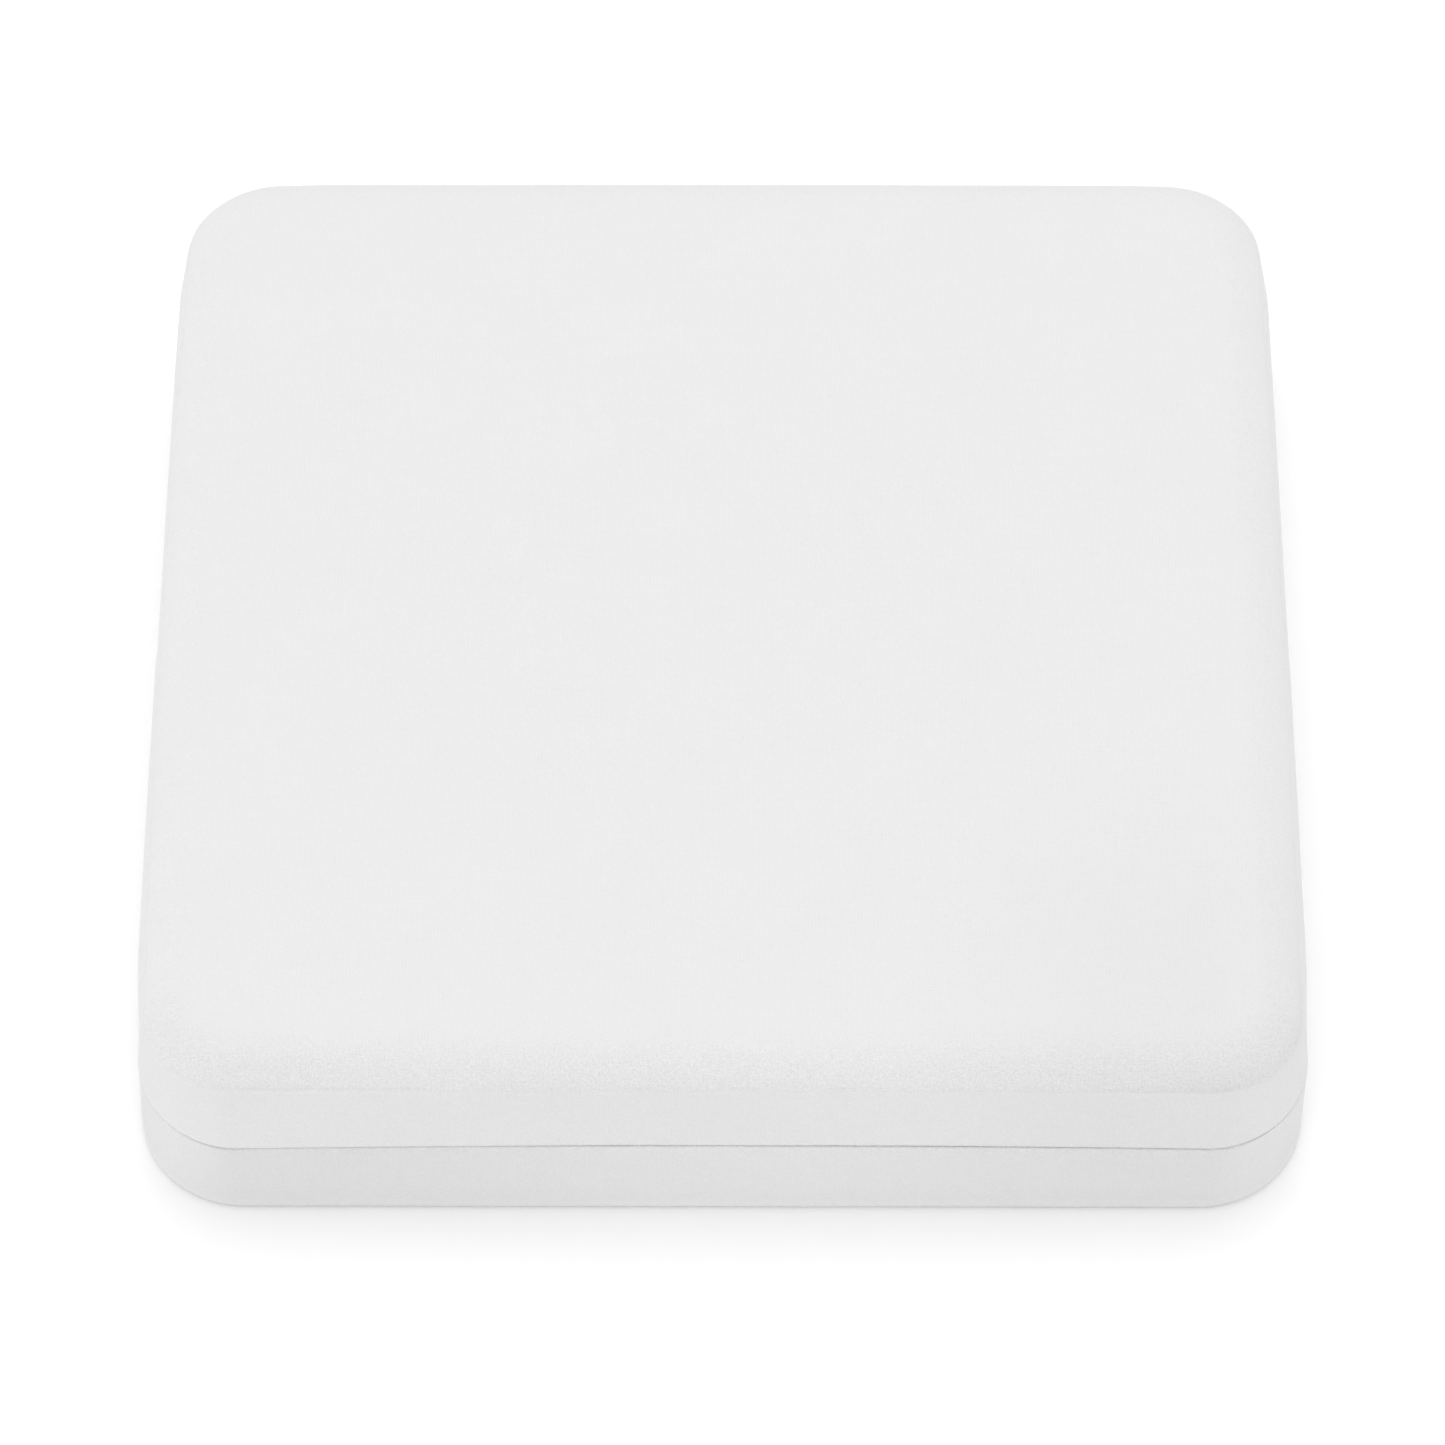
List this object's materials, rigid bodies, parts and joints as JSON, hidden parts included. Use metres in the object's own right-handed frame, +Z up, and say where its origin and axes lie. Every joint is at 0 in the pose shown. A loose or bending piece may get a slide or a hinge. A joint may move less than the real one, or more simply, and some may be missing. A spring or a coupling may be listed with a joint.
{
  "type": "velvet jewellery presentation case",
  "caption": "Square hinged jewellery case in white velvet, with a padded lid, a velvet display pad inside and a satin-lined lid.",
  "frame": {"origin": "centre of the closed case's outer box, on the surface it rests on", "axes": "+Z up, +X to the right seen from the front, +Y to the rear, where the hinge is"},
  "size_m": [0.16, 0.161, 0.0306],
  "materials": {
    "velvet": "short-pile white velvet",
    "display_velvet": "short-pile white velvet over foam",
    "satin": "white satin over wadding",
    "foam": "soft open foam",
    "greyboard": "plain board",
    "bottom_card": "smooth coated card",
    "shell_plastic": "moulded, unpainted",
    "hinge_steel": "nickel-plated strip",
    "pin_steel": "drawn wire",
    "spring_steel": "tempered strip",
    "rivets": "domed heads"
  },
  "bodies": {
    "base": {"base_bottom_card": "bottom_card", "base_shell": "shell_plastic", "base_cover": "velvet", "display_board": "greyboard", "display_foam": "foam", "display_cover": "display_velvet", "hinge_leaf_base": "hinge_steel", "hinge_pin": "pin_steel", "hinge_spring": "spring_steel", "base_rivets": "rivets"},
    "lid": {"lid_shell": "shell_plastic", "lid_top_foam": "foam", "lid_cover": "velvet", "lid_lining_board": "greyboard", "lid_lining_wadding": "foam", "lid_lining_satin": "satin", "hinge_leaf_lid": "hinge_steel", "lid_rivets": "rivets"}
  },
  "joints": [
    {"name": "lid_hinge", "type": "hinge", "parent": "base", "child": "lid", "pos_m": [0, 0.07927, 0.0159], "axis": [-1, 0, 0], "range_deg": [0, 100], "deforming": ["hinge_spring"]}
  ]
}
